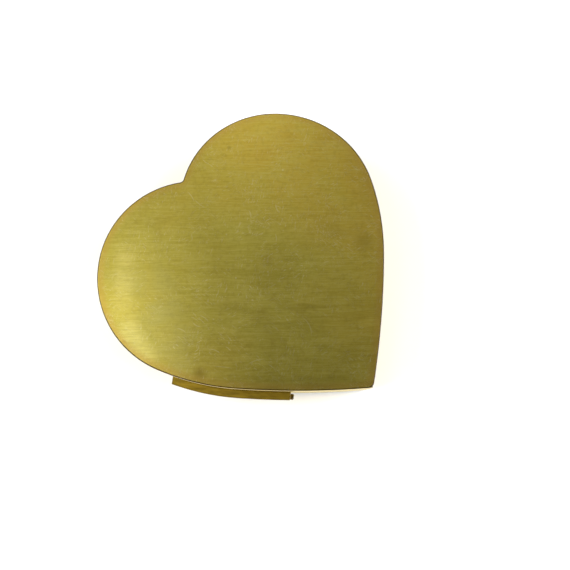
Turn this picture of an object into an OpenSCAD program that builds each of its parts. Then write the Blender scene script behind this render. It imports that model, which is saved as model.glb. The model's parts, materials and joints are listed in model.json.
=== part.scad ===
// Heart-shaped trinket box in sheet brass, with a lid hinged on one flank of the heart.
// Millimetres, +Z up. The origin is on the surface the box stands on, at the middle of
// the lid's footprint. The tip of the heart points to -Y and the hinge is on the -X flank.
// Each wall is a strip bent to the outline and soldered to a flat plate, and the lid turns
// about a straight five-knuckle barrel let into the walls at the joint line.

/* [Heart outline] */
// Radius of the arc at the outside of each lobe
lobe_r = 32.3; // [31.5:0.1:33]
// Distance of each lobe's centre from the line of symmetry
lobe_x = 15.2; // [14.8:0.1:16]
// Radius of the arc from the top of a lobe down into the cleft
shoulder_r = 29.6; // [28.5:0.1:31]
// Where the lobe arc meets the shoulder arc, in degrees above the X direction
shoulder_turn = 50; // [45:1:60]
// Radius of the arc down each flank
flank_r = 73.7; // [70:0.1:78]
// Where the lobe arc meets the flank arc, in degrees below the X direction
flank_turn = 24.7; // [23:0.1:26]
// Radius of the long arc that runs into the tip
point_r = 271; // [240:1:300]
// Where the flank arc meets the long arc, in degrees below the X direction
point_turn = 43.8; // [42:0.1:45]
// Radius on the tip of the lid plate
tip_round = 2; // [1:0.1:3]
// Radius in the cleft of the lid plate
cleft_round = 1.3; // [0.8:0.1:2]

/* [Box] */
// Overall height
box_h = 24; // [21:0.5:30]
// Height of the line where the lid meets the base
joint_z = 13; // [12:0.5:14]
// Thickness of the lid and floor plates
plate_t = 1.4; // [1:0.1:1.6]
// Thickness of the bent wall strips
wall_t = 1.4; // [1.3:0.05:1.6]
// How far the lid wall stands in from the edge of the lid plate
lid_inset = 0.15; // [0.1:0.05:0.2]
// How far the base stands in from the edge of the lid plate
base_inset = 0.4; // [0.35:0.05:0.45]
// Gap between the lid wall and the base wall when the lid is shut
joint_gap = 0.1; // [0.05:0.05:0.2]

/* [Locating rim] */
// Thickness of the rim band inside the base wall
rim_t = 0.8; // [0.6:0.1:1]
// How far the rim stands up inside the lid
rim_above = 1.5; // [1:0.1:1.8]
// How far the rim reaches down inside the base
rim_below = 2.8; // [2:0.1:4]

/* [Hinge] */
// Where the hinge starts on the flank arc, in degrees from the X direction
hinge_from = 27.7; // [27.5:0.1:30]
// Where the hinge ends on the long arc, in degrees from the X direction
hinge_to = 47.3; // [47:0.1:48]
// Radius of the knuckles
knuckle_r = 0.9; // [0.85:0.01:0.9]
// Radius of the hinge pin
pin_r = 0.45; // [0.4:0.01:0.5]
// How far the pin's line lies outside the heart at the two ends of the hinge
axis_out = 1.25; // [1.2:0.01:1.3]
// How far the rail's outer face lies outside the heart
rail_out = 2.4; // [2.3:0.05:2.5]
// Height of the rail
rail_h = 2.4; // [2:0.1:3]
// Height of the rail's underside above the joint line
rail_lift = 0.6; // [0.55:0.01:0.65]
// How far the barrel shows beyond the rail at the lobe end
barrel_start_over = 0.1; // [0.05:0.05:0.5]
// How far the barrel shows beyond the rail at the tip end
barrel_end_over = 0.9; // [0.1:0.05:0.9]

/* [Lining] */
// Thickness of the felt under the box
felt_t = 1; // [0.8:0.1:1.5]
// Thickness of the velvet on the walls
velvet_t = 0.7; // [0.5:0.05:0.8]
// Thickness of the cards that the pads are made up on
card_t = 0.8; // [0.6:0.1:1]
// Thickness of the floor pad above its card
floor_pad_t = 2; // [1.5:0.1:2.5]
// Thickness of the lid pad below its card
lid_pad_t = 1.6; // [1.2:0.1:2]

/* [Hidden] */

brass = "#b9a650";
brass_dark = "#8f7a38";
steel = "#9a9a96";
velvet = "#6d1226";
felt = "#23402f";
card = "#9c9384";

// Centres of the four arcs of the right half, each tangent to the next
lobe_c = [lobe_x, 0];
shoulder_c = lobe_c + (lobe_r - shoulder_r) * unit(shoulder_turn);
flank_c = lobe_c + (lobe_r - flank_r) * unit(-flank_turn);
point_c = flank_c + (flank_r - point_r) * unit(-point_turn);

// The outline is drawn about the lobe centres' level and then moved to the middle of the lid.
// The sharp corner of the lid wall may reach past the rounded tip of the plate.
tip_low_y = min(rounded_tip_y(0, tip_round) - tip_round, rounded_tip_y(lid_inset, 0));
mid_y = (shoulder_c.y + shoulder_r + tip_low_y) / 2;

segment = 2.2;        // length of the straight pieces that stand for an arc
arc_least = 4;        // fewest straight pieces in an arc
eps = 0.01;
through = 1;          // how far a cut runs past what it cuts
round_fn = 48;

floor_top = felt_t + plate_t;
lid_under = box_h - plate_t;
lid_wall_in = lid_inset + wall_t;
base_wall_in = base_inset + wall_t;
rim_in = base_wall_in + rim_t;

// The hinge runs along the chord between two points of the outline, moved outwards
hinge_p = mirror_x(flank_c + flank_r * unit(-hinge_from)) - [0, mid_y];
hinge_q = mirror_x(point_c + point_r * unit(-hinge_to)) - [0, mid_y];
rail_len = norm(hinge_q - hinge_p);
hinge_dir = (hinge_q - hinge_p) / rail_len;
hinge_in = [-hinge_dir.y, hinge_dir.x];
hinge_mid = (hinge_p + hinge_q) / 2 - axis_out * hinge_in;
hinge_turn = atan2(hinge_dir.y, hinge_dir.x);

cove_r = knuckle_r + 0.1;
knuckle_gap = 0.12;
knuckles = 5;
barrel_start = -rail_len / 2 - barrel_start_over;
barrel_len = rail_len + barrel_start_over + barrel_end_over;
knuckle_len = (barrel_len - (knuckles - 1) * knuckle_gap) / knuckles;
pin_head_r = 0.68;
pin_head_t = 0.2;
lid_bore_r = pin_r + 0.05;
base_bore_r = pin_r + 0.02;

tab_root = 0.3;       // the tabs start this far from the pin's line, inside the knuckle
lid_tab = [-0.45, 0.45, 1.7];      // across the hinge from, to, and reach upwards
base_tab = [-0.1, 0.8, 1.9];       // across the hinge from, to, and reach downwards
tab_end = 1.2;        // the tabs stop this far short of their knuckle's ends
bearer_face = -0.1;   // outer face of the bearer, across the hinge
bearer_h = 2.8;

lid_seam = 0.4;
base_seam = 0.2;

lining_gap = 0.05;
pad_gap = 0.3;
felt_in = 1.2;        // the felt stands in from the base's edge by this much

function unit(a) = [cos(a), sin(a)];
function mirror_x(p) = [-p.x, p.y];

// Height of the centre of the rounding at the tip, on the line of symmetry
function rounded_tip_y(inset, tip) =
    point_c.y - sqrt(pow(point_r - inset - tip, 2) - pow(point_c.x, 2));

// Height of the centre of the rounding in the cleft, on the line of symmetry
function rounded_cleft_y(inset, cleft) =
    shoulder_c.y + sqrt(pow(shoulder_r - inset + cleft, 2) - pow(shoulder_c.x, 2));

function cleft_y(inset) = rounded_cleft_y(inset, 0) - mid_y;

// Points along an arc of nominal radius r, drawn inset from it, without the last point
function arc(c, r, inset, from, to) =
    let (n = max(arc_least, ceil(r * abs(to - from) * PI / 180 / segment)))
    [for (i = [0:n - 1]) c + (r - inset) * unit(from + (to - from) * i / n)];

// Right half of the heart from the tip to the cleft. A tip or cleft of 0 is left sharp.
function half_heart(inset, tip, cleft) =
    let (tip_y = rounded_tip_y(inset, tip))
    let (tip_turn = atan2(tip_y - point_c.y, -point_c.x))
    let (fold_y = rounded_cleft_y(inset, cleft))
    let (fold_turn = atan2(fold_y - shoulder_c.y, -shoulder_c.x))
    concat(
        tip > 0 ? arc([0, tip_y], tip, 0, -90, tip_turn) : [],
        arc(point_c, point_r, inset, tip_turn, -point_turn),
        arc(flank_c, flank_r, inset, -point_turn, -flank_turn),
        arc(lobe_c, lobe_r, inset, -flank_turn, shoulder_turn),
        arc(shoulder_c, shoulder_r, inset, shoulder_turn, fold_turn),
        cleft > 0 ? arc([0, fold_y], cleft, 0, fold_turn - 180, -90) : [],
        [[0, fold_y - cleft]]
    );

// The left half repeats the right half without the two points on the line of symmetry
function heart_points(inset, tip, cleft) =
    let (half = half_heart(inset, tip, cleft))
    let (left = [for (i = [len(half) - 2:-1:1]) mirror_x(half[i])])
    [for (p = concat(half, left)) p - [0, mid_y]];

module heart(inset, tip = 0, cleft = 0) {
    polygon(heart_points(inset, tip, cleft));
}

module slab(low, high, inset, tip = 0, cleft = 0) {
    translate([0, 0, low])
        linear_extrude(high - low)
            heart(inset, tip, cleft);
}

module band(low, high, outer, inner) {
    translate([0, 0, low])
        linear_extrude(high - low)
            difference() {
                heart(outer);
                heart(inner);
            }
}

// Moves to the middle of the pin's line: X runs along it towards the tip, Y points inwards
module at_hinge(z = joint_z) {
    translate([hinge_mid.x, hinge_mid.y, z])
        rotate([0, 0, hinge_turn])
            children();
}

module rod(start, length, r) {
    translate([start, 0, 0])
        rotate([0, 90, 0])
            cylinder(h = length, r = r, $fn = round_fn);
}

module cove() {
    at_hinge()
        rod(-rail_len / 2 - through, rail_len + 2 * through, cove_r);
}

function knuckle_start(i) = barrel_start + i * (knuckle_len + knuckle_gap);

// A box beside the pin's line, from one place to another across the hinge
module tab_box(i, from, to, low, high) {
    translate([knuckle_start(i) + tab_end, from, low])
        cube([knuckle_len - 2 * tab_end, to - from, high - low]);
}

module lid_tab_slots() {
    at_hinge()
        for (i = [1, 3])
            tab_box(i, lid_tab[0], lid_tab[1], -through, lid_tab[2]);
}

module base_tab_slots() {
    at_hinge()
        for (i = [0, 2, 4])
            tab_box(i, base_tab[0] - through, base_tab[1], -base_tab[2], through);
}

module lid_knuckle(i) {
    color(brass_dark)
        at_hinge()
            difference() {
                union() {
                    rod(knuckle_start(i), knuckle_len, knuckle_r);
                    tab_box(i, lid_tab[0], lid_tab[1], tab_root, lid_tab[2]);
                }
                rod(knuckle_start(i) - through, knuckle_len + 2 * through, lid_bore_r);
            }
}

module base_knuckle(i) {
    color(brass_dark)
        at_hinge()
            difference() {
                union() {
                    rod(knuckle_start(i), knuckle_len, knuckle_r);
                    tab_box(i, base_tab[0], base_tab[1], -base_tab[2], -tab_root);
                }
                rod(knuckle_start(i) - through, knuckle_len + 2 * through, base_bore_r);
            }
}

module seam_slit(inset, low, high, width) {
    translate([-width / 2, cleft_y(inset) - 2 * wall_t, low - through])
        cube([width, 4 * wall_t, high - low + 2 * through]);
}

// Base

module base_felt() {
    color(felt)
        slab(0, felt_t, base_inset + felt_in);
}

module base_floor() {
    color(brass)
        slab(felt_t, floor_top, base_inset);
}

module base_wall() {
    color(brass)
        difference() {
            band(floor_top, joint_z, base_inset, base_wall_in);
            cove();
            base_tab_slots();
            seam_slit(base_inset, floor_top, joint_z, base_seam);
        }
}

module base_rim() {
    color(brass)
        band(joint_z - rim_below, joint_z + rim_above, base_wall_in, rim_in);
}

module floor_card() {
    color(card)
        slab(floor_top, floor_top + card_t, rim_in + pad_gap);
}

module floor_pad() {
    color(velvet)
        slab(floor_top + card_t, floor_top + card_t + floor_pad_t, rim_in + pad_gap);
}

module wall_lining() {
    color(velvet)
        band(floor_top + lining_gap, joint_z - rim_below - lining_gap,
             base_wall_in + lining_gap, base_wall_in + lining_gap + velvet_t);
}

// A filler between the curved wall and the straight barrel, which carries the base knuckles
module hinge_bearer() {
    color(brass_dark)
        difference() {
            at_hinge(joint_z - bearer_h)
                translate([-rail_len / 2, bearer_face, 0])
                    cube([rail_len, 2 * axis_out, bearer_h]);
            slab(joint_z - bearer_h - through, joint_z + through, base_inset);
            cove();
            base_tab_slots();
        }
}

// A steel pin riveted over at both ends
module hinge_pin() {
    color(steel)
        at_hinge() {
            rod(barrel_start - eps, barrel_len + 2 * eps, pin_r);
            rod(barrel_start - eps - pin_head_t, pin_head_t, pin_head_r);
            rod(barrel_start + barrel_len + eps, pin_head_t, pin_head_r);
        }
}

// Lid

module lid_plate() {
    color(brass)
        slab(lid_under, box_h, 0, tip_round, cleft_round);
}

module lid_wall() {
    color(brass)
        difference() {
            band(joint_z + joint_gap, lid_under, lid_inset, lid_wall_in);
            cove();
            lid_tab_slots();
            seam_slit(lid_inset, joint_z, lid_under, lid_seam);
        }
}

// A curved ledge along the foot of the lid wall, which covers the barrel
module hinge_rail() {
    color(brass_dark)
        difference() {
            intersection() {
                band(joint_z + rail_lift, joint_z + rail_lift + rail_h, -rail_out, lid_inset);
                at_hinge()
                    translate([-rail_len / 2, -2 * rail_out, 0])
                        cube([rail_len, 4 * rail_out, 2 * rail_h]);
            }
            cove();
            lid_tab_slots();
        }
}

module lid_card() {
    color(card)
        slab(lid_under - card_t, lid_under, lid_wall_in + velvet_t + pad_gap);
}

module lid_pad() {
    color(velvet)
        slab(lid_under - card_t - lid_pad_t, lid_under - card_t, lid_wall_in + velvet_t + pad_gap);
}

module lid_lining() {
    color(velvet)
        band(joint_z + rim_above + 10 * lining_gap, lid_under - lining_gap,
             lid_wall_in + lining_gap, lid_wall_in + lining_gap + velvet_t);
}

base_felt();
base_floor();
base_wall();
base_rim();
floor_card();
floor_pad();
wall_lining();
hinge_bearer();
base_knuckle(0);  // base_knuckle_left
base_knuckle(2);  // base_knuckle_centre
base_knuckle(4);  // base_knuckle_right
hinge_pin();
lid_plate();
lid_wall();
hinge_rail();
lid_knuckle(1);  // lid_knuckle_left
lid_knuckle(3);  // lid_knuckle_right
lid_card();
lid_pad();
lid_lining();
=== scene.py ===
"""Looks of the heart-shaped brass trinket box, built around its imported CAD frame."""
import json
import math

import bpy
from mathutils import Matrix, Vector


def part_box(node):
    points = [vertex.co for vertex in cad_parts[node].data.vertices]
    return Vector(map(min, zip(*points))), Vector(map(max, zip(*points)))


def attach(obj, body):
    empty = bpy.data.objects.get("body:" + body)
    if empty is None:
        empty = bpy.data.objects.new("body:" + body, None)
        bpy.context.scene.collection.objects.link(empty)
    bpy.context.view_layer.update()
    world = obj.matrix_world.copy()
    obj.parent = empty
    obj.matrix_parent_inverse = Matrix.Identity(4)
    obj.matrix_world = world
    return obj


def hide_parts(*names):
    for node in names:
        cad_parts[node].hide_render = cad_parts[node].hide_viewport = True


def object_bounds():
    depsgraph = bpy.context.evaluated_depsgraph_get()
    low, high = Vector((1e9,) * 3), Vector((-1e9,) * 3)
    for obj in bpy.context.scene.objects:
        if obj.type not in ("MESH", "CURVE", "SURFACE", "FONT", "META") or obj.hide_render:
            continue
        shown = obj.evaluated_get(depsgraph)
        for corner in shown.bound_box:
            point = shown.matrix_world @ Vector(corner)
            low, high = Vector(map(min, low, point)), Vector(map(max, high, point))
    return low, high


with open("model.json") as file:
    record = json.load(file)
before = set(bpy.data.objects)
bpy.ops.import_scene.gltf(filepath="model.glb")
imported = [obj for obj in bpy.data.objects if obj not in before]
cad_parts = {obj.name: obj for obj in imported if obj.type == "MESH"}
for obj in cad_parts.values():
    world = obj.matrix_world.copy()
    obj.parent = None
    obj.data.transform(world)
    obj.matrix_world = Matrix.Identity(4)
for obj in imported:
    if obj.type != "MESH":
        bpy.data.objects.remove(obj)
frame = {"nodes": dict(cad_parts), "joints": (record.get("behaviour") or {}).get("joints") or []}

CAD_LOW, CAD_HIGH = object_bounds()
NODES = frame["nodes"]
MM = 0.001

# Directions in plan, as angles from +X
HINGE_AXIS = Vector(frame["joints"][0]["axis"])
HINGE_HEADING = math.atan2(HINGE_AXIS.y, HINGE_AXIS.x)
GRAIN_HEADING = math.radians(-42)      # the brushing on the lid and the floor plate
RIM_HIGHLIGHT_SIDE = math.radians(-132)         # the side, next to the hinge, where rounded rims get a painted highlight; elsewhere they get painted shade

# The camera stands almost over the lid, leaning towards the hinge side
AIM = Vector((1.5 * MM, -5.65 * MM, CAD_HIGH.z))
CAMERA_DISTANCE = 214.9 * MM
CAMERA_LEAN = math.radians(11.2)
CAMERA_HEADING = math.radians(234.2)
SCREEN_UP_HEADING = math.radians(47.8)
LENS = 44.2
SENSOR = 36


def heading(angle):
    return Vector((math.cos(angle), math.sin(angle), 0))


# ---------------------------------------------------------------- camera, lights, floor

def make_camera():
    back = heading(CAMERA_HEADING) * math.sin(CAMERA_LEAN) + Vector((0, 0, math.cos(CAMERA_LEAN)))
    right = heading(SCREEN_UP_HEADING).cross(back).normalized()
    up = back.cross(right)
    camera = bpy.data.objects.new("camera", bpy.data.cameras.new("camera"))
    camera.data.sensor_width = SENSOR
    camera.data.lens = LENS
    camera.data.clip_start = 5 * MM
    camera.matrix_world = Matrix.Translation(AIM + back * CAMERA_DISTANCE) @ Matrix(
        (right, up, back)).transposed().to_4x4()
    bpy.context.scene.collection.objects.link(camera)
    bpy.context.scene.camera = camera


# The softboxes: name, heading and elevation in degrees, width and height in metres, watts
STUDIO = (
    ("key", 150, 71, 0.16, 0.16, 0.46),
    ("key_high", 100, 71, 0.16, 0.16, 0.06),
    ("far", 55, 50, 0.2, 0.2, 0.42),
    ("far_right", 30, 64, 0.16, 0.16, 0.11),
    ("near", -100, 70, 0.16, 0.16, 0.035),
    ("floor_left", 138, 46, 0.5, 0.4, 5.4),
    ("floor_right", -42, 48, 0.5, 0.4, 5.4),
    ("wash_left", 138, 24, 1.4, 0.5, 5.4),
    ("wash_right", -42, 24, 1.4, 0.5, 5.2),
    ("wash_far", 48, 20, 1.4, 0.2, 1.8),
    ("wash_near", -132, 22, 1.4, 0.5, 4.2),
)
SOFTBOX_DISTANCE = 0.9
WORLD_STRENGTH = 0.035
FLOOR_HALF = 3.0
FLOOR_WHITE = (0.92, 0.92, 0.92, 1)


def softbox(name, direction, elevation, width, height, power):
    """An area light aimed at the box. direction is its heading in plan, in degrees."""
    flat = heading(math.radians(direction)) * math.cos(math.radians(elevation))
    back = flat + Vector((0, 0, math.sin(math.radians(elevation))))
    data = bpy.data.lights.new(name, "AREA")
    data.shape = "RECTANGLE"
    data.size = width
    data.size_y = height
    data.energy = power
    lamp = bpy.data.objects.new(name, data)
    lamp.location = back * SOFTBOX_DISTANCE
    lamp.rotation_mode = "QUATERNION"
    lamp.rotation_quaternion = back.to_track_quat("Z", "Y")
    bpy.context.scene.collection.objects.link(lamp)


def make_world(strength):
    world = bpy.data.worlds.new("studio")
    world.use_nodes = True
    background = world.node_tree.nodes["Background"]
    background.inputs["Color"].default_value = (1, 1, 1, 1)
    background.inputs["Strength"].default_value = strength
    bpy.context.scene.world = world


def make_floor():
    mesh = bpy.data.meshes.new("floor")
    corners = [(x * FLOOR_HALF, y * FLOOR_HALF, 0) for x, y in ((-1, -1), (1, -1), (1, 1), (-1, 1))]
    mesh.from_pydata(corners, [], [(0, 1, 2, 3)])
    floor = bpy.data.objects.new("floor", mesh)
    material = bpy.data.materials.new("floor")
    material.use_nodes = True
    shader = material.node_tree.nodes["Principled BSDF"]
    shader.inputs["Base Color"].default_value = FLOOR_WHITE
    shader.inputs["Roughness"].default_value = 0.8
    shader.inputs["Specular IOR Level"].default_value = 0.1
    mesh.materials.append(material)
    bpy.context.scene.collection.objects.link(floor)


# ---------------------------------------------------------------- node graph helper

class Graph:
    """Builds one material's nodes. Values may be numbers, colours or other nodes' outputs."""

    def __init__(self, name):
        self.material = bpy.data.materials.new(name)
        self.material.use_nodes = True
        self.tree = self.material.node_tree
        self.shader = self.tree.nodes["Principled BSDF"]

    def put(self, socket, value):
        if isinstance(value, bpy.types.NodeSocket):
            self.tree.links.new(value, socket)
        elif hasattr(socket.default_value, "__len__") and len(socket.default_value) == 4:
            socket.default_value = (*value[:3], 1)
        else:
            socket.default_value = value

    def node(self, kind, settings=None, **inputs):
        made = self.tree.nodes.new(kind)
        for key, value in (settings or {}).items():
            setattr(made, key, value)
        for key, value in inputs.items():
            self.put(made.inputs[key.replace("_", " ")], value)
        return made

    def set(self, **inputs):
        for key, value in inputs.items():
            self.put(self.shader.inputs[key.replace("_", " ")], value)

    def math(self, operation, a, b=0.0, clamp=False):
        made = self.node("ShaderNodeMath", {"operation": operation, "use_clamp": clamp})
        for socket, value in zip(made.inputs, (a, b)):
            self.put(socket, value)
        return made.outputs[0]

    def times(self, a, b):
        return self.math("MULTIPLY", a, b)

    def mix(self, factor, a, b):
        """Colour a where factor is 0, colour b where it is 1."""
        made = self.node("ShaderNodeMix", {"data_type": "RGBA"})
        for socket, value in zip((made.inputs[0], made.inputs[6], made.inputs[7]), (factor, a, b)):
            self.put(socket, value)
        return made.outputs[2]

    def ramp(self, value, first, last):
        """A straight-line map of value between two stops, each (in, out), held beyond them."""
        made = self.node("ShaderNodeMapRange", {"clamp": True}, Value=value)
        made.inputs["From Min"].default_value, made.inputs["To Min"].default_value = first
        made.inputs["From Max"].default_value, made.inputs["To Max"].default_value = last
        return made.outputs[0]

    def place(self, turn=0.0, scale=(1, 1, 1), shift=(0, 0, 0)):
        """Object coordinates, turned by -turn about Z so that X runs along that heading."""
        coordinates = self.node("ShaderNodeTexCoord").outputs["Object"]
        turned = self.node("ShaderNodeVectorRotate", {"rotation_type": "Z_AXIS"},
                           Vector=coordinates, Angle=-turn).outputs[0]
        mapping = self.node("ShaderNodeMapping", Vector=turned, Scale=scale, Location=shift)
        return mapping.outputs[0]

    def noise(self, vector, scale=1.0, detail=2.0, roughness=0.5, distortion=0.0):
        made = self.node("ShaderNodeTexNoise", Vector=vector, Scale=scale, Detail=detail,
                         Roughness=roughness, Distortion=distortion)
        return made.outputs["Fac"]

    def bump(self, height, distance, strength=1.0, normal=None):
        made = self.node("ShaderNodeBump", Height=height, Distance=distance, Strength=strength)
        if normal is not None:
            self.put(made.inputs["Normal"], normal)
        return made.outputs[0]

    def tangent(self, direction):
        """A direction fixed in the object, as the shader's tangent."""
        made = self.node("ShaderNodeVectorTransform",
                         {"vector_type": "VECTOR", "convert_from": "OBJECT",
                          "convert_to": "WORLD"})
        made.inputs[0].default_value = direction
        return made.outputs[0]


# ---------------------------------------------------------------- materials

BRASS = (0.71, 0.572, 0.082)
BRASS_PALE = (0.80, 0.69, 0.17)
BRASS_GREEN = (0.62, 0.525, 0.086)
BRASS_GOLD = (0.74, 0.515, 0.070)
BRASS_BROWN = (0.38, 0.235, 0.035)
BRASS_TAN = (0.70, 0.46, 0.085)
# Painted shade on rounded rims, also the colour of a dark pit and of a painted shadow spot at the
# cleft
BRASS_SHADE_AND_PIT = (0.05, 0.034, 0.013)
BRASS_BARE = (0.97, 0.90, 0.46)
# Painted highlight for the bright bands on the lid plate
BRASS_BAND_HIGHLIGHT = (0.98, 0.86, 0.26)
BRASS_HAZE = (0.66, 0.62, 0.23)
# Painted highlight on rounded rims: the plates' on the side next to the hinge, the hinge's at its
# end
BRASS_RIM_HIGHLIGHT = (0.80, 0.64, 0.27)
WALL_BRASS = (0.60, 0.48, 0.080)
WALL_GOLD = (0.57, 0.43, 0.066)
RAIL_LIGHT = (0.31, 0.21, 0.022)
RAIL_DARK = (0.13, 0.085, 0.011)
# The knuckles' colours, darkened as painted shade
KNUCKLE_SHADE_LIGHT = (0.17, 0.12, 0.03)
KNUCKLE_SHADE_DARK = (0.06, 0.04, 0.015)
STEEL_DARK = (0.20, 0.19, 0.18)
STEEL_LIGHT = (0.5, 0.49, 0.46)
VELVET_DARK = (0.075, 0.004, 0.014)
VELVET_LIGHT = (0.21, 0.012, 0.035)
VELVET_DEEP = (0.02, 0.001, 0.004)
VELVET_SHEEN = (0.9, 0.25, 0.32, 1)
FELT_DARK = (0.012, 0.04, 0.022)
FELT_LIGHT = (0.075, 0.17, 0.10)
FELT_DUST = (0.03, 0.06, 0.045)
CARD_DARK = (0.035, 0.003, 0.008)
CARD_LIGHT = (0.10, 0.010, 0.022)
ANISOTROPY = 0.8

# Scratches on the lid plate, in millimetres: both ends, how far the middle bows, and the width
LID_SCRATCHES = (
    ((-0.8, 37.6), (-1.4, 33.4), 0.3, 0.20),
    ((-1.4, 34.2), (-0.6, 29.4), -0.4, 0.16),
    ((-23.9, 5.2), (-23.0, 1.6), 0.4, 0.18),
    ((-25.0, 5.0), (-24.4, 1.8), 0.3, 0.14),
    ((-27.4, 4.8), (-26.4, 1.8), -0.4, 0.20),
    ((-31.6, 6.8), (-30.4, 3.8), 0.3, 0.22),
    ((-28.4, -4.6), (-26.8, -7.8), 0.4, 0.20),
    ((-22.8, -15.8), (-18.2, -18.0), 0.3, 0.20),
    ((-31.0, -9.6), (-27.2, -13.8), 0.2, 0.14),
    ((9.4, 19.6), (8.2, 17.4), 0.3, 0.26),
    ((16.6, 15.8), (15.4, 12.8), -0.3, 0.26),
    ((10.4, 13.6), (12.6, 13.2), 0.2, 0.20),
    ((10.4, 8.4), (8.8, 6.2), 0.2, 0.16),
    ((-9.0, 26.2), (-10.4, 24.2), 0.2, 0.16),
    ((-0.4, -16.6), (-2.4, -23.2), 1.1, 0.18),
)
SCRATCH_STRENGTH = 0.62
# Brown spots on the lid plate, in millimetres: centre, radius, strength
LID_SPOTS = (
    ((-35.6, -8.6), 2.8, 0.55),
    ((18.4, 39.6), 0.9, 0.35),
    ((3.0, 4.0), 2.4, 0.25),
    ((29.0, -12.0), 4.0, 0.35),
    ((22.0, -30.0), 4.0, 0.3),
    ((-46.4, 14.4), 0.7, 0.5),
)
# Dark spots at the rim of the lid plate, in millimetres: centre, radius, strength. The first is a
# painted shadow in the crevice at the cleft, the second a dark pit
LID_PITS_AND_SHADOW = (
    ((-0.9, 41.5), 0.6, 1.0),
    ((-43.9, -1.5), 0.4, 0.5),
)
# Bands of painted highlight on the lid plate: as the scratches, and then the strength
LID_HIGHLIGHT_BANDS = (
    ((-25.5, 39.0), (-42.0, 20.0), 0.0, 4.5, 0.4),
    ((-42.6, 21.0), (-46.0, 2.0), -1.4, 5.0, 0.7),
)
# Where a grey-green haze lies on the lid plate, in millimetres: centre, radius, strength
LID_HAZE = (
    ((-29.2, 22.5), 9.0, 0.3),
    ((-33.0, 14.0), 9.0, 0.35),
    ((-35.0, 5.0), 9.0, 0.45),
    ((-37.5, -2.5), 6.0, 0.3),
)
# Bright dents on the lid plate, in millimetres: centre, radius, strength
LID_SPECKS = (
    ((26.0, 22.4), 0.45, 1.0),
    ((-9.0, -2.4), 0.4, 0.8),
    ((-23.0, -7.4), 0.4, 0.8),
    ((-8.2, 6.2), 0.4, 0.7),
    ((0.4, 1.0), 0.4, 0.7),
    ((-1.2, 18.6), 0.4, 0.5),
)


def edge_mask(g, radius):
    """1 at a piece's edges, falling to 0 about radius millimetres in from them."""
    rounded = g.node("ShaderNodeBevel", {"samples": 6}, Radius=radius * MM).outputs[0]
    plain = g.node("ShaderNodeNewGeometry").outputs["Normal"]
    facing = g.node("ShaderNodeVectorMath", {"operation": "DOT_PRODUCT"})
    g.put(facing.inputs[0], rounded)
    g.put(facing.inputs[1], plain)
    return g.ramp(facing.outputs["Value"], (0.9998, 0.0), (0.975, 1.0))


def rounded_rim(g, side):
    """The mask of a plate's rounded upper edge, and how far it faces the given side: 0 to 1."""
    normal = g.node("ShaderNodeVectorTransform",
                    {"vector_type": "NORMAL", "convert_from": "WORLD", "convert_to": "OBJECT"})
    g.put(normal.inputs[0], g.node("ShaderNodeNewGeometry").outputs["Normal"])
    part = g.node("ShaderNodeSeparateXYZ", Vector=normal.outputs[0]).outputs
    toward = g.node("ShaderNodeVectorMath", {"operation": "DOT_PRODUCT"})
    g.put(toward.inputs[0], normal.outputs[0])
    toward.inputs[1].default_value = heading(side)
    rim = g.ramp(part[2], (0.9995, 0.0), (0.985, 1.0))
    return rim, g.ramp(toward.outputs["Value"], (0.76, 0.0), (0.9, 1.0))


def streaks(g, turn, fineness):
    """Fine brushed lines along a heading: 0 to 1."""
    fine = g.noise(g.place(turn, (190, 2600 * fineness, 2600 * fineness)), 1.0, 4.0, 0.7)
    broad = g.noise(g.place(turn, (40, 900 * fineness, 900 * fineness), (3, 1, 0)), 1.0, 2.0)
    return g.math("ADD", g.times(fine, 0.75), g.times(broad, 0.25))


def scratch(g, start, end, bow, width, strength=SCRATCH_STRENGTH):
    """strength on a bowed line between two points of the plan, 0 away from it."""
    start, end = Vector(start) * MM, Vector(end) * MM
    length = (end - start).length
    turn = math.atan2(end.y - start.y, end.x - start.x)
    middle = (start + end) / 2
    here = g.node("ShaderNodeVectorMath", {"operation": "SUBTRACT"})
    g.put(here.inputs[0], g.node("ShaderNodeTexCoord").outputs["Object"])
    here.inputs[1].default_value = (middle.x, middle.y, 0)
    turned = g.node("ShaderNodeVectorRotate", {"rotation_type": "Z_AXIS"},
                    Vector=here.outputs[0], Angle=-turn)
    split = g.node("ShaderNodeSeparateXYZ", Vector=turned.outputs[0])
    along, across = split.outputs[0], split.outputs[1]
    curve = g.times(g.times(along, along), 4 * bow * MM / length ** 2)
    off = g.math("ABSOLUTE", g.math("ADD", across, curve))
    line = g.ramp(off, (0.3 * width * MM, strength), (width * MM, 0.0))
    ends = g.ramp(g.math("ABSOLUTE", along), (0.25 * length, 1.0), (0.52 * length, 0.0))
    return g.times(line, ends)


def spot(g, centre, radius, strength):
    """strength on a soft-edged round spot of the plan, 0 away from it."""
    here = g.node("ShaderNodeVectorMath", {"operation": "DISTANCE"})
    g.put(here.inputs[0], g.node("ShaderNodeTexCoord").outputs["Object"])
    here.inputs[1].default_value = (centre[0] * MM, centre[1] * MM, CAD_HIGH.z)
    return g.ramp(here.outputs["Value"], (0.2 * radius * MM, strength), (radius * MM, 0.0))


def largest(g, masks):
    """The greatest of several masks."""
    total = masks[0]
    for mask in masks[1:]:
        total = g.math("MAXIMUM", total, mask)
    return total


def spots(g, rows):
    """Every spot of a table, as one mask."""
    return largest(g, [spot(g, *row) for row in rows])


def nicks(g):
    """Short fine marks in three directions, gathered in patches: 0 to 1."""
    marks = []
    for turn, shift in ((0.6, 1), (1.75, 4), (-0.25, 7)):
        lines = g.noise(g.place(turn, (620, 3000, 900), (shift, 0, 0)), 1.0, 3.0, 0.6, 0.8)
        patch = g.noise(g.place(turn, (1, 1, 1), (0, shift, 0)), 110, 2)
        marks.append(g.times(g.ramp(lines, (0.58, 0.0), (0.72, 1.0)),
                            g.ramp(patch, (0.45, 0.0), (0.62, 1.0))))
    return largest(g, marks)


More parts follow.
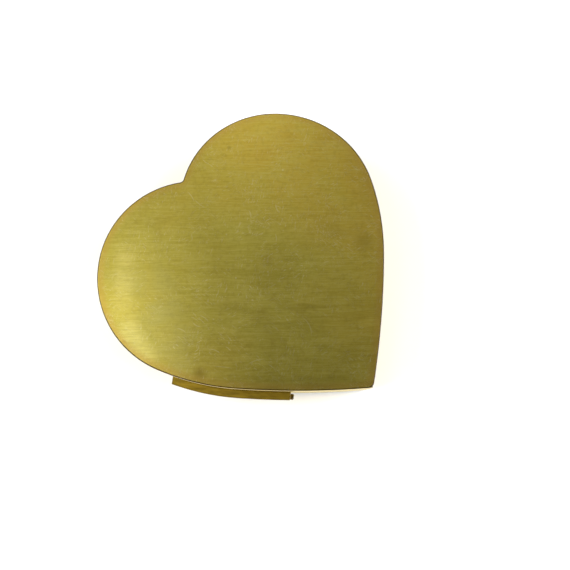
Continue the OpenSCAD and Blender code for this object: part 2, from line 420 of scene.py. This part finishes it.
def toward_rim(g):
    """0 over the middle of the plan, rising to 1 at its far and tip sides, where hands hold it."""
    far = g.node("ShaderNodeSeparateXYZ", Vector=g.place(GRAIN_HEADING)).outputs
    return g.math("MAXIMUM", g.ramp(far[1], (8 * MM, 0.0), (40 * MM, 1.0)),
                  g.ramp(far[0], (14 * MM, 0.0), (42 * MM, 0.9)))


# The lid plate's handling marks, with its painted highlight bands and painted shadow spot
LID_WEAR_AND_LIGHT = {"scratches": LID_SCRATCHES, "spots": LID_SPOTS, "pits_and_shadow": LID_PITS_AND_SHADOW,
            "specks": LID_SPECKS, "highlight_band": LID_HIGHLIGHT_BANDS, "haze": LID_HAZE}
NO_WEAR_OR_LIGHT = dict.fromkeys(LID_WEAR_AND_LIGHT, ())


def brushed_brass(name, turn, tarnish, roughness, wear_and_light):
    """Flat brass brushed along one heading, with tarnish, and a rounded rim painted as highlight on
    one side and as shade on the others. The last argument holds the rows of handling marks, of
    painted highlight bands and of a painted shadow spot.
    """
    g = Graph(name)
    lines = streaks(g, turn, 1.0)
    smudge = g.noise(g.place(0.4, (1, 1, 1), (0.3, 0.1, 0)), 42, 5, 0.62, 0.4)
    drift = g.noise(g.place(0, (1, 1, 1), (0.7, 0.4, 0)), 16, 3, 0.5)
    grain = g.noise(g.place(0.2), 900, 3, 0.6)
    golden = g.math("ADD", g.ramp(drift, (0.40, -0.3), (0.60, 0.4)), toward_rim(g))
    color = g.mix(g.math("ADD", golden, 0.0, clamp=True), BRASS_GREEN, BRASS_GOLD)
    color = g.mix(g.ramp(smudge, (0.35, 0.75), (0.6, 0.1)), color, BRASS)
    color = g.mix(g.ramp(lines, (0.45, 0.0), (0.7, 0.6)), color, BRASS_PALE)
    color = g.mix(g.ramp(lines, (0.3, 0.2), (0.5, 0.0)), color, BRASS_BROWN)
    color = g.mix(g.ramp(grain, (0.35, 0.16), (0.5, 0.0)), color, BRASS_BROWN)
    color = g.mix(g.ramp(smudge, (0.55, 0.0), (0.8, tarnish)), color, BRASS_BROWN)
    if wear_and_light["haze"]:
        haze = g.times(spots(g, wear_and_light["haze"]), g.ramp(smudge, (0.4, 0.3), (0.6, 1.0)))
        color = g.mix(haze, color, BRASS_HAZE)
    # Painted highlight: bright bands along the lid plate's edge, broken by the brushed lines
    if wear_and_light["highlight_band"]:
        highlight_band = largest(g, [scratch(g, *row) for row in wear_and_light["highlight_band"]])
        color = g.mix(g.times(highlight_band, g.ramp(lines, (0.35, 0.4), (0.6, 1.0))),
                      color, BRASS_BAND_HIGHLIGHT)
    if wear_and_light["spots"]:
        color = g.mix(spots(g, wear_and_light["spots"]), color, BRASS_BROWN)
    color = g.mix(g.times(edge_mask(g, 4.0), 0.85), color, BRASS_TAN)
    marks = largest(g, [nicks(g)] + [scratch(g, *row) for row in wear_and_light["scratches"]]
                    + [spot(g, *row) for row in wear_and_light["specks"]])
    color = g.mix(g.times(marks, 0.5), color, BRASS_BARE)
    # The rounded rim: painted highlight on the side next to the hinge, painted shade on the others
    rim, faces_highlight_side = rounded_rim(g, RIM_HIGHLIGHT_SIDE)
    color = g.mix(rim, color, g.mix(faces_highlight_side, BRASS_SHADE_AND_PIT, BRASS_RIM_HIGHLIGHT))
    # A painted shadow spot at the cleft, and a dark pit
    if wear_and_light["pits_and_shadow"]:
        color = g.mix(spots(g, wear_and_light["pits_and_shadow"]), color, BRASS_SHADE_AND_PIT)
    rough = g.math("ADD", g.ramp(lines, (0.3, -0.02), (0.7, 0.05)),
                   g.ramp(smudge, (0.35, roughness - 0.02), (0.65, roughness + 0.05)))
    height = g.math("SUBTRACT", lines, g.times(marks, 0.8))
    g.set(Metallic=1.0, Base_Color=color, Anisotropic=ANISOTROPY, Roughness=rough,
          Normal=g.bump(height, 8e-6, 0.6), Tangent=g.tangent(heading(turn + math.pi / 2)))
    return g.material


def wall_brass(name):
    """Brass strip brushed along its length, which runs level round the box."""
    g = Graph(name)
    lines = g.noise(g.place(0, (30, 30, 5200)), 1.0, 3.0, 0.6)
    cloud = g.noise(g.place(), 60, 5, 0.65, 0.5)
    fingers = g.noise(g.place(0.5, (1, 1, 1.6), (0.2, 0.6, 0.1)), 130, 3, 0.5, 0.8)
    waves = g.noise(g.place(0, (1, 1, 0.6)), 55, 2, 0.4)
    marks = nicks(g)
    color = g.mix(g.ramp(cloud, (0.35, 0.0), (0.65, 1.0)), WALL_BRASS, WALL_GOLD)
    color = g.mix(g.ramp(lines, (0.35, 0.08), (0.5, 0.0)), color, BRASS_BROWN)
    color = g.mix(g.ramp(lines, (0.5, 0.0), (0.7, 0.25)), color, BRASS)
    color = g.mix(g.ramp(fingers, (0.5, 0.0), (0.75, 0.22)), color, BRASS_BROWN)
    color = g.mix(g.times(edge_mask(g, 1.2), 0.6), color, BRASS_BROWN)
    color = g.mix(g.times(marks, 0.3), color, BRASS_PALE)
    height = g.math("SUBTRACT", lines, g.times(marks, 0.8))
    g.set(Metallic=1.0, Base_Color=color,
          Roughness=g.math("ADD", g.ramp(lines, (0.2, 0.2), (0.8, 0.36)),
                           g.ramp(fingers, (0.48, 0.0), (0.72, 0.1))),
          Normal=g.bump(height, 6e-6, 0.5, g.bump(waves, 2e-4, 0.5)))
    return g.material


def hinge_brass(name, light, dark):
    """Drawn brass with lengthwise lines, mottled between a light and a dark colour. Its edges are
    darkened as painted shade, and its rounded rim at the end facing along the hinge gets a painted
    highlight.
    """
    g = Graph(name)
    lines = streaks(g, HINGE_HEADING, 0.6)
    cloud = g.noise(g.place(HINGE_HEADING, (180, 700, 700)), 1.0, 3, 0.6)
    color = g.mix(g.ramp(cloud, (0.35, 0.0), (0.65, 0.9)), light, dark)
    color = g.mix(g.ramp(lines, (0.4, 0.0), (0.7, 0.35)), color, light)
    # Painted shade along the piece's edges and joints
    color = g.mix(g.times(edge_mask(g, 0.6), 0.8), color, dark)
    # Painted highlight on the rounded rim at the end facing along the hinge
    rim, toward_end = rounded_rim(g, HINGE_HEADING)
    color = g.mix(g.times(rim, toward_end), color, BRASS_RIM_HIGHLIGHT)
    g.set(Metallic=1.0, Base_Color=color,
          Roughness=g.ramp(lines, (0.2, 0.32), (0.8, 0.5)),
          Normal=g.bump(lines, 2e-5, 0.8))
    return g.material


def steel(name):
    """Dull steel with fine tool marks."""
    g = Graph(name)
    marks = g.noise(g.place(), 1500, 3, 0.6)
    g.set(Metallic=1.0, Base_Color=g.mix(marks, STEEL_DARK, STEEL_LIGHT),
          Roughness=g.ramp(marks, (0.3, 0.3), (0.7, 0.5)), Normal=g.bump(marks, 1e-5, 0.6))
    return g.material


def velvet(name):
    """Short pile, brushed lighter and darker in patches."""
    g = Graph(name)
    pile = g.noise(g.place(), 5200, 2, 0.7)
    nap = g.noise(g.place(0.6, (1, 0.45, 1)), 120, 4, 0.55, 0.6)
    color = g.mix(g.ramp(nap, (0.3, 0.0), (0.7, 1.0)), VELVET_DARK, VELVET_LIGHT)
    color = g.mix(g.ramp(pile, (0.3, 0.5), (0.7, 0.0)), color, VELVET_DEEP)
    g.set(Base_Color=color, Roughness=0.95, Specular_IOR_Level=0.1, Sheen_Weight=0.9,
          Sheen_Roughness=0.35, Normal=g.bump(pile, 1.2e-4, 0.8))
    g.shader.inputs["Sheen Tint"].default_value = VELVET_SHEEN
    return g.material


def felt(name):
    """Pressed fibres, a little dusty in patches."""
    g = Graph(name)
    fibres = g.noise(g.place(0.3), 1500, 5, 0.75, 1.4)
    patches = g.noise(g.place(), 160, 3)
    color = g.mix(g.ramp(fibres, (0.3, 0.0), (0.7, 1.0)), FELT_DARK, FELT_LIGHT)
    color = g.mix(g.ramp(patches, (0.4, 0.0), (0.7, 0.3)), color, FELT_DUST)
    g.set(Base_Color=color, Roughness=1.0, Specular_IOR_Level=0.1, Sheen_Weight=0.3,
          Sheen_Roughness=0.6, Normal=g.bump(fibres, 2e-4, 1.0))
    return g.material


def card(name):
    """The pads' cards, round whose edges the velvet's backing is turned."""
    g = Graph(name)
    fibres = g.noise(g.place(), 1800, 4, 0.7)
    g.set(Base_Color=g.mix(fibres, CARD_DARK, CARD_LIGHT), Roughness=0.95,
          Specular_IOR_Level=0.1, Normal=g.bump(fibres, 5e-5, 0.5))
    return g.material


# ---------------------------------------------------------------- metal pieces from the frame

WELD_DISTANCE = 1e-6
FLAT_LIMIT = math.radians(0.4)      # faces that turn by less than this are joined
EDGE_LIMIT = math.radians(32)       # edges that turn by more than this are rounded


def dress(node, material, edge):
    """Gives a CAD node its material and rounds its edges by edge millimetres."""
    piece = NODES[node]
    mesh = piece.data
    mesh.materials.clear()
    mesh.materials.append(material)
    mesh.polygons.foreach_set("use_smooth", [True] * len(mesh.polygons))
    if "custom_normal" in mesh.attributes:
        mesh.attributes.remove(mesh.attributes["custom_normal"])
    piece.modifiers.new("weld", "WELD").merge_threshold = WELD_DISTANCE
    flat = piece.modifiers.new("flat", "DECIMATE")
    flat.decimate_type = "DISSOLVE"
    flat.angle_limit = FLAT_LIMIT
    bevel = piece.modifiers.new("edge", "BEVEL")
    bevel.width = edge * MM
    bevel.segments = 3
    bevel.limit_method = "ANGLE"
    bevel.angle_limit = EDGE_LIMIT
    bevel.use_clamp_overlap = True
    piece.modifiers.new("normals", "WEIGHTED_NORMAL").keep_sharp = True


def dress_metal():
    lid_top = brushed_brass("lid_top_brass", GRAIN_HEADING, 0.35, 0.32, LID_WEAR_AND_LIGHT)
    floor_plate = brushed_brass("floor_brass", GRAIN_HEADING, 0.5, 0.36, NO_WEAR_OR_LIGHT)
    walls = wall_brass("wall_brass")
    rail = hinge_brass("rail_brass", RAIL_LIGHT, RAIL_DARK)
    # The knuckles are darkened throughout as painted shade
    shaded_knuckles = hinge_brass("knuckle_brass_painted_shade", KNUCKLE_SHADE_LIGHT, KNUCKLE_SHADE_DARK)
    steel_pin = steel("pin_steel")
    covered_card = card("covered_card")
    rows = [
        (("lid_plate",), lid_top, 0.45),
        (("base_floor",), floor_plate, 0.2),
        (("lid_wall", "base_wall", "base_rim"), walls, 0.1),
        (("hinge_rail",), rail, 0.25),
        (("hinge_bearer",), rail, 0.1),
        ([name for name in NODES if "knuckle" in name], shaded_knuckles, 0.05),
        (("hinge_pin",), steel_pin, 0.06),
        (("floor_card", "lid_card"), covered_card, 0.05),
    ]
    for nodes, material, edge in rows:
        for node in nodes:
            dress(node, material, edge)


# ---------------------------------------------------------------- soft pieces

def soft_copy(node, name, material, voxel):
    """A finely and evenly meshed copy of a soft CAD node, which it replaces."""
    source = NODES[node]
    piece = bpy.data.objects.new(name, source.data.copy())
    bpy.context.scene.collection.objects.link(piece)
    piece.data.materials.clear()
    piece.data.materials.append(material)
    remesh = piece.modifiers.new("remesh", "REMESH")
    remesh.mode = "VOXEL"
    remesh.voxel_size = voxel * MM
    piece.modifiers.new("weld", "WELD").merge_threshold = WELD_DISTANCE
    piece.modifiers.move(1, 0)
    bake_modifiers(piece)
    piece.data.polygons.foreach_set("use_smooth", [True] * len(piece.data.polygons))
    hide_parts(node)
    return piece


def bake_modifiers(piece):
    """Applies every modifier on a piece."""
    graph = bpy.context.evaluated_depsgraph_get()
    mesh = bpy.data.meshes.new_from_object(piece.evaluated_get(graph))
    old = piece.data
    piece.modifiers.clear()
    piece.data = mesh
    bpy.data.meshes.remove(old)


def ruffle(piece, size, depth):
    """Moves a soft surface in and out a little, as cloth glued over a card does."""
    texture = bpy.data.textures.new(piece.name + "_ruffle", "CLOUDS")
    texture.noise_scale = size * MM
    smooth = piece.modifiers.new("smooth", "SMOOTH")
    smooth.factor = 0.6
    smooth.iterations = 4
    push = piece.modifiers.new("ruffle", "DISPLACE")
    push.texture = texture
    push.texture_coords = "GLOBAL"
    push.strength = depth * MM
    push.mid_level = 1.0
    bake_modifiers(piece)


CLOTH_SCALE = 20        # the cloth is worked out this many times larger
CLOTH_FRAMES = 20
CLOTH_HELD = 0.3        # points this near the flat face stay where they are, in millimetres
CLOTH_SETTINGS = {"quality": 6, "use_pressure": True, "uniform_pressure_force": 4,
                  "tension_stiffness": 12, "bending_stiffness": 0.4, "vertex_group_mass": "held"}
PAD_VOXEL = 1.0         # the pads' measures are in millimetres
PAD_INSET = 0.6
PAD_HEIGHT = 0.75       # of the CAD pad's height, before it swells
PAD_SWELL = 1.2         # the furthest that a point may move
LINING_VOXEL = 0.34
FELT_VOXEL = 0.5


def inflate(piece, face_z, cap):
    """Swells a pad by cloth simulation. It stays flat on face_z, and no point moves beyond cap."""
    mesh = piece.data
    mesh.transform(Matrix.Scale(CLOTH_SCALE, 4))
    face = face_z * CLOTH_SCALE
    held = [v.index for v in mesh.vertices if abs(v.co.z - face) < CLOTH_HELD * MM * CLOTH_SCALE]
    piece.vertex_groups.new(name="held").add(held, 1.0, "REPLACE")
    start = [v.co.copy() for v in mesh.vertices]
    cloth = piece.modifiers.new("cloth", "CLOTH").settings
    for name, value in CLOTH_SETTINGS.items():
        setattr(cloth, name, value)
    cloth.effector_weights.gravity = 0
    scene = bpy.context.scene
    for step in range(1, CLOTH_FRAMES + 1):
        scene.frame_set(step)
    bake_modifiers(piece)
    scene.frame_set(1)
    limit = cap * MM * CLOTH_SCALE
    for vertex, before in zip(piece.data.vertices, start):
        move = vertex.co - before
        vertex.co = before + move * (limit / max(limit, move.length))
    piece.data.transform(Matrix.Scale(1 / CLOTH_SCALE, 4))
    piece.vertex_groups.clear()
    smooth = piece.modifiers.new("smooth", "SMOOTH")
    smooth.factor = 0.5
    smooth.iterations = 2
    finer = piece.modifiers.new("finer", "SUBSURF")
    finer.levels = 1
    bake_modifiers(piece)


def shrink(piece, face_z, inset, height):
    """Pulls a pad's outline in by inset millimetres, and scales its height from face_z."""
    low, high = [Vector(c) for c in (piece.bound_box[0], piece.bound_box[6])]
    middle = (low + high) / 2
    half = (high - low) / 2
    for vertex in piece.data.vertices:
        for axis in (0, 1):
            off = vertex.co[axis] - middle[axis]
            vertex.co[axis] = middle[axis] + off * (1 - inset * MM / half[axis])
        vertex.co.z = face_z + (vertex.co.z - face_z) * height


def make_pad(node, body, pile, rests_low):
    """A velvet pad, which rests on its lower face in the base and on its upper face in the lid."""
    piece = soft_copy(node, node + "_velvet", pile, PAD_VOXEL)
    low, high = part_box(node)
    face_z = low[2] if rests_low else high[2]
    shrink(piece, face_z, PAD_INSET, PAD_HEIGHT)
    inflate(piece, face_z, PAD_SWELL)
    ruffle(piece, 14, 0.12)
    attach(piece, body)


def make_lining(node, body, pile):
    """A velvet strip glued to a wall."""
    piece = soft_copy(node, node + "_velvet", pile, LINING_VOXEL)
    ruffle(piece, 9, 0.12)
    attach(piece, body)


def make_soft():
    pile = velvet("velvet")
    make_lining("wall_lining", "base", pile)
    make_lining("lid_lining", "lid", pile)
    make_pad("floor_pad", "base", pile, True)
    make_pad("lid_pad", "lid", pile, False)
    piece = soft_copy("base_felt", "base_felt_sheet", felt("green_felt"), FELT_VOXEL)
    ruffle(piece, 6, 0.06)
    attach(piece, "base")


make_camera()
bpy.context.scene.view_settings.view_transform = "Standard"
make_world(WORLD_STRENGTH)
for row in STUDIO:
    softbox(*row)
make_floor()
dress_metal()
make_soft()
